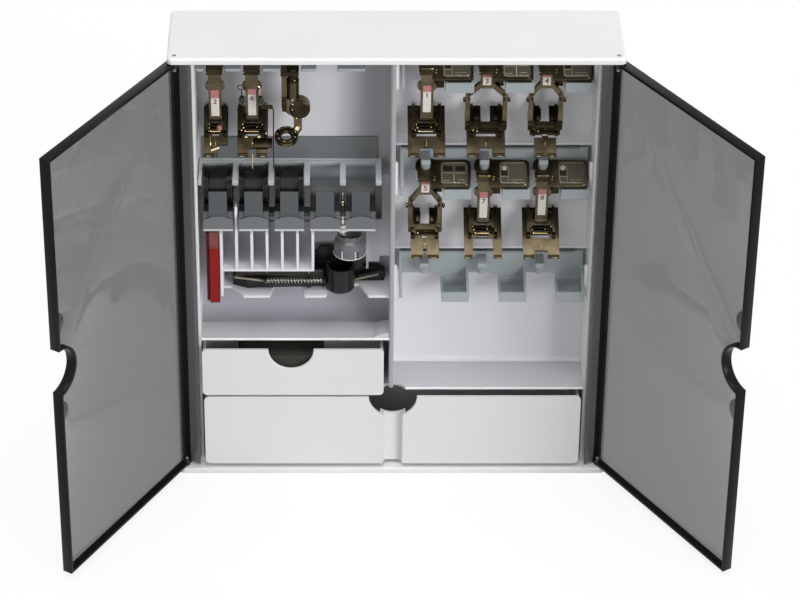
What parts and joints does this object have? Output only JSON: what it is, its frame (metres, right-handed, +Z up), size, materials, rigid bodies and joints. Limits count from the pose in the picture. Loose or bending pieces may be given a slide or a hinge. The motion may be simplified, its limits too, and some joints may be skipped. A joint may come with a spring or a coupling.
{
  "type": "sewing machine attachment box",
  "caption": "Small standing cabinet with two smoked wrap-round doors, drawers, bobbin cups, a needle rack and racks of hanging presser feet.",
  "frame": {"origin": "middle of the base plate's underside", "axes": "+X to the right as seen from the open front, +Y to the back, +Z up"},
  "size_m": [0.376, 0.156, 0.2794],
  "materials": {
    "shell_white": "satin moulded",
    "inner_white": "satin moulded",
    "drawer_white": "fine matt moulded",
    "rack_grey": "smooth matt moulded",
    "smoked": "clear smoked, polished",
    "pin_steel": "turned",
    "clear_insert": "clear, polished",
    "bronze_metal": "bronze-tinted plating",
    "bobbin_black": "matt black",
    "foam_black": "open-cell foam",
    "red_plastic": "glossy moulded",
    "red_clear": "clear red moulded",
    "dark_metal": "dark plating",
    "bright_steel": "drawn wire",
    "smoky_clear": "smoky moulded"
  },
  "bodies": {
    "cabinet": {"base_plate": "shell_white", "lid": "shell_white", "back_panel": "shell_white", "left_wall": "shell_white", "right_wall": "shell_white", "divider": "inner_white", "mid_shelf": "inner_white", "left_shelf": "inner_white", "left_liner": "inner_white", "right_liner": "inner_white", "scalloped_shelf": "inner_white", "needle_rack": "inner_white", "bobbin_holder": "rack_grey", "fork_rail": "rack_grey", "foot_rail_low": "rack_grey", "foot_rail_mid": "rack_grey", "foot_rail_top": "rack_grey", "hinge_pins": "pin_steel", "rear_foot_pins": "pin_steel", "clear_collar": "smoky_clear", "collar_spindle": "bright_steel"},
    "left_door": {"door_left": "smoked"},
    "right_door": {"door_right": "smoked"},
    "large_drawer": {"large_drawer": "drawer_white"},
    "small_drawer": {"small_drawer": "drawer_white", "drawer_foam": "foam_black"},
    "bobbin_1": {"bobbin_1": "bobbin_black"},
    "bobbin_2": {"bobbin_2": "bobbin_black"},
    "bobbin_3": {"bobbin_3": "bobbin_black"},
    "foot_overlock": {"foot_overlock": "bronze_metal"},
    "foot_embroidery": {"foot_embroidery": "bronze_metal"},
    "foot_spring": {"foot_spring": "bronze_metal"},
    "foot_reverse": {"foot_reverse": "bronze_metal", "foot_reverse_window": "clear_insert"},
    "foot_buttonhole": {"foot_buttonhole": "bronze_metal", "foot_buttonhole_window": "clear_insert"},
    "foot_zip": {"foot_zip": "bronze_metal", "foot_zip_window": "clear_insert"},
    "foot_straight": {"foot_straight": "bronze_metal", "foot_straight_window": "clear_insert"},
    "foot_open_toe": {"foot_open_toe": "bronze_metal", "foot_open_toe_window": "clear_insert"},
    "foot_jeans": {"foot_jeans": "bronze_metal", "foot_jeans_window": "clear_insert"},
    "seam_ripper": {"ripper_handle": "red_plastic", "ripper_cap": "red_clear"},
    "walking_foot": {"walking_foot_body": "dark_metal", "walking_foot_spring": "bright_steel", "walking_foot_head": "bobbin_black"},
    "left_rear_foot": {"rear_foot_left": "shell_white"},
    "right_rear_foot": {"rear_foot_right": "shell_white"}
  },
  "joints": [
    {"name": "left_door_hinge", "type": "hinge", "parent": "cabinet", "child": "left_door", "pos_m": [-0.1209, -0.0238, 0.1395], "axis": [0, 0, -1], "range_deg": [-120.9, 49]},
    {"name": "right_door_hinge", "type": "hinge", "parent": "cabinet", "child": "right_door", "pos_m": [0.1209, -0.0238, 0.1395], "axis": [0, 0, 1], "range_deg": [-122.7, 47]},
    {"name": "large_drawer_slide", "type": "slide", "parent": "cabinet", "child": "large_drawer", "axis": [0, -1, 0], "range_m": [0, 0.042]},
    {"name": "small_drawer_slide", "type": "slide", "parent": "cabinet", "child": "small_drawer", "axis": [0, -1, 0], "range_m": [0, 0.026]},
    {"name": "bobbin_1_lift", "type": "slide", "parent": "cabinet", "child": "bobbin_1", "axis": [0, -0.5, 0.866], "range_m": [0, 0.01]},
    {"name": "bobbin_2_lift", "type": "slide", "parent": "cabinet", "child": "bobbin_2", "axis": [0, -0.5, 0.866], "range_m": [0, 0.01]},
    {"name": "bobbin_3_lift", "type": "slide", "parent": "cabinet", "child": "bobbin_3", "axis": [0, -0.5, 0.866], "range_m": [0, 0.01]},
    {"name": "foot_overlock_pull", "type": "slide", "parent": "cabinet", "child": "foot_overlock", "axis": [0, -1, 0], "range_m": [0, 0.014]},
    {"name": "foot_embroidery_pull", "type": "slide", "parent": "cabinet", "child": "foot_embroidery", "axis": [0, -1, 0], "range_m": [0, 0.014]},
    {"name": "foot_spring_pull", "type": "slide", "parent": "cabinet", "child": "foot_spring", "axis": [0, -1, 0], "range_m": [0, 0.014]},
    {"name": "foot_reverse_pull", "type": "slide", "parent": "cabinet", "child": "foot_reverse", "axis": [0, -1, 0], "range_m": [0, 0.014]},
    {"name": "foot_buttonhole_pull", "type": "slide", "parent": "cabinet", "child": "foot_buttonhole", "axis": [0, -1, 0], "range_m": [0, 0.014]},
    {"name": "foot_zip_pull", "type": "slide", "parent": "cabinet", "child": "foot_zip", "axis": [0, -1, 0], "range_m": [0, 0.014]},
    {"name": "foot_straight_pull", "type": "slide", "parent": "cabinet", "child": "foot_straight", "axis": [0, -1, 0], "range_m": [0, 0.014]},
    {"name": "foot_open_toe_pull", "type": "slide", "parent": "cabinet", "child": "foot_open_toe", "axis": [0, -1, 0], "range_m": [0, 0.014]},
    {"name": "foot_jeans_pull", "type": "slide", "parent": "cabinet", "child": "foot_jeans", "axis": [0, -1, 0], "range_m": [0, 0.014]},
    {"name": "seam_ripper_pull", "type": "slide", "parent": "cabinet", "child": "seam_ripper", "axis": [0, -1, 0], "range_m": [0, 0.012]},
    {"name": "walking_foot_pull", "type": "slide", "parent": "cabinet", "child": "walking_foot", "axis": [0, -1, 0], "range_m": [0, 0.01]},
    {"name": "left_rear_foot_swing", "type": "hinge", "parent": "cabinet", "child": "left_rear_foot", "pos_m": [-0.112, 0.022, 0.0012], "axis": [0, 0, 1], "range_deg": [0, 90]},
    {"name": "right_rear_foot_swing", "type": "hinge", "parent": "cabinet", "child": "right_rear_foot", "pos_m": [0.112, 0.022, 0.0012], "axis": [0, 0, -1], "range_deg": [0, 90]}
  ]
}
